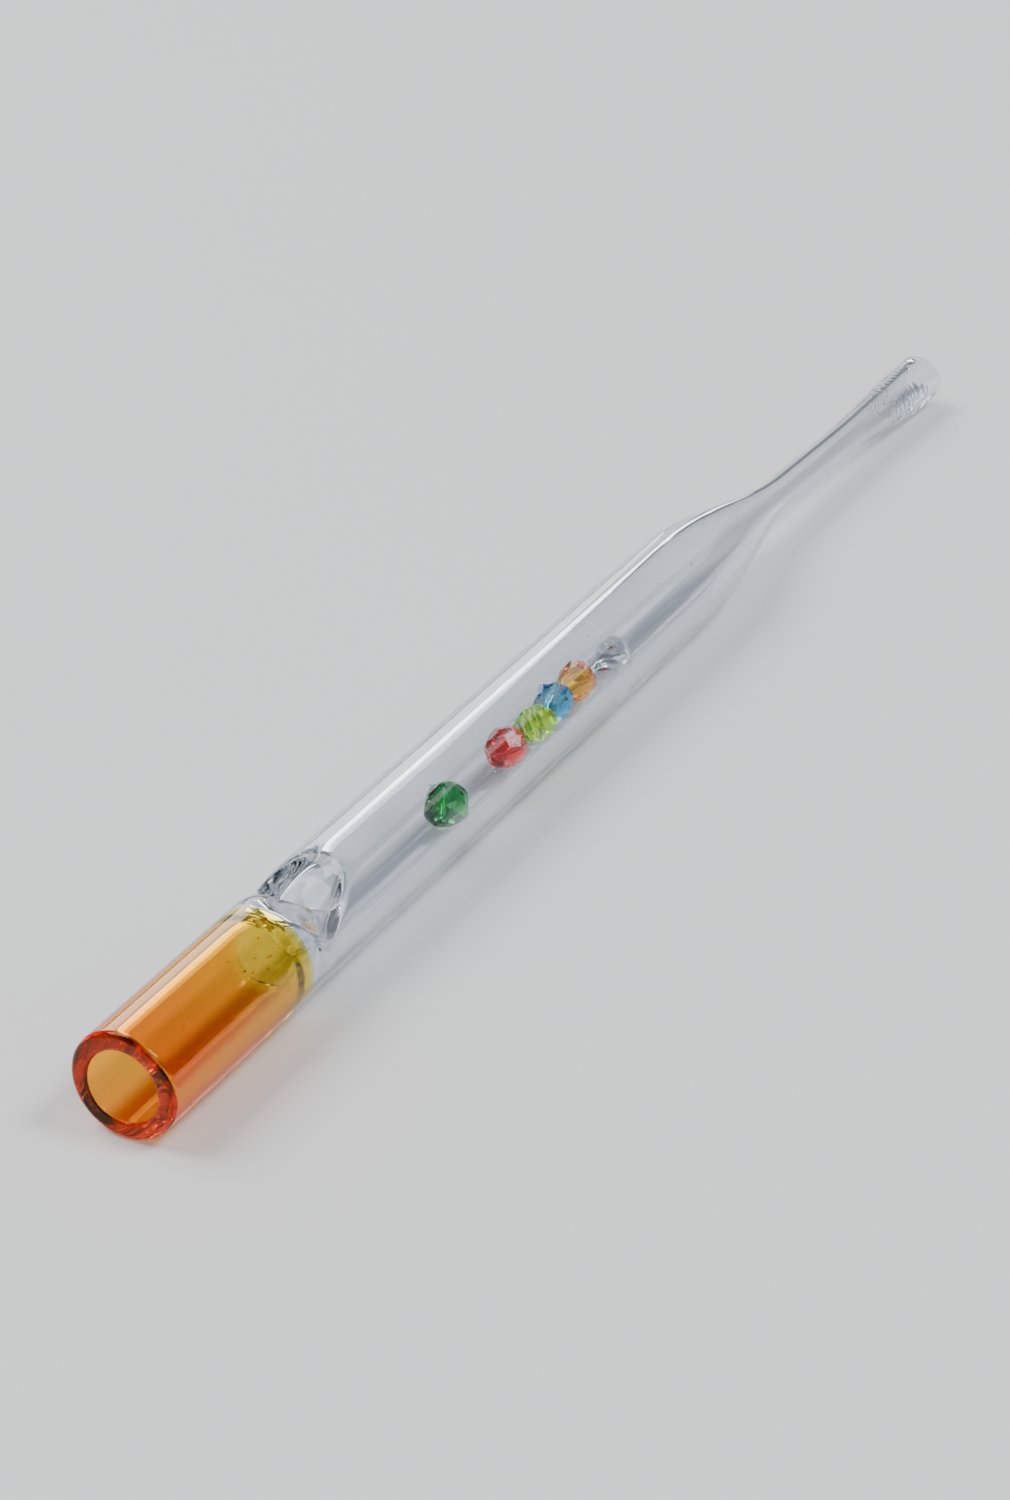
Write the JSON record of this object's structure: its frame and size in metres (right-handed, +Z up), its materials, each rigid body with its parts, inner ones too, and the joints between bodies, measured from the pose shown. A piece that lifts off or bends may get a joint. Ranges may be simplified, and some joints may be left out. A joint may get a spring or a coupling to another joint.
{
  "type": "glass mouthpiece tube",
  "caption": "Hand-worked glass mouthpiece tube with a fused amber socket, a clear barrel pinched in twice to hold loose faceted beads, and a drawn, flared mouth end.",
  "frame": {"origin": "on the surface the tube lies on, under the middle of its length", "axes": "+X along the tube from the socket end to the mouth end; +Z up, away from the side the beads rest on"},
  "size_m": [0.1932, 0.012, 0.012],
  "materials": {
    "amber_glass": "polished",
    "clear_glass": "polished",
    "green_glass": "faceted",
    "red_glass": "faceted",
    "lime_glass": "faceted",
    "blue_glass": "faceted",
    "orange_glass": "faceted"
  },
  "bodies": {
    "glass": {"amber_socket": "amber_glass", "clear_tube": "clear_glass"},
    "green_bead": {"bead_green": "green_glass"},
    "red_bead": {"bead_red": "red_glass"},
    "lime_bead": {"bead_lime": "lime_glass"},
    "blue_bead": {"bead_blue": "blue_glass"},
    "orange_bead": {"bead_orange": "orange_glass"}
  },
  "joints": [
    {"name": "bead_green_slide", "type": "slide", "parent": "glass", "child": "green_bead", "axis": [1, 0, 0], "range_m": [-0.02325, 0]},
    {"name": "bead_red_slide", "type": "slide", "parent": "glass", "child": "red_bead", "axis": [1, 0, 0], "range_m": [-0.03235, 0]},
    {"name": "bead_lime_slide", "type": "slide", "parent": "glass", "child": "lime_bead", "axis": [1, 0, 0], "range_m": [-0.03235, 0]},
    {"name": "bead_blue_slide", "type": "slide", "parent": "glass", "child": "blue_bead", "axis": [1, 0, 0], "range_m": [-0.03265, 0]},
    {"name": "bead_orange_slide", "type": "slide", "parent": "glass", "child": "orange_bead", "axis": [1, 0, 0], "range_m": [-0.0328, 0]}
  ],
  "couplings": [
    {"joint": "bead_green_slide", "follows": "bead_orange_slide", "ratio": 0.7088},
    {"joint": "bead_red_slide", "follows": "bead_orange_slide", "ratio": 0.9863},
    {"joint": "bead_lime_slide", "follows": "bead_orange_slide", "ratio": 0.9863},
    {"joint": "bead_blue_slide", "follows": "bead_orange_slide", "ratio": 0.9954}
  ]
}
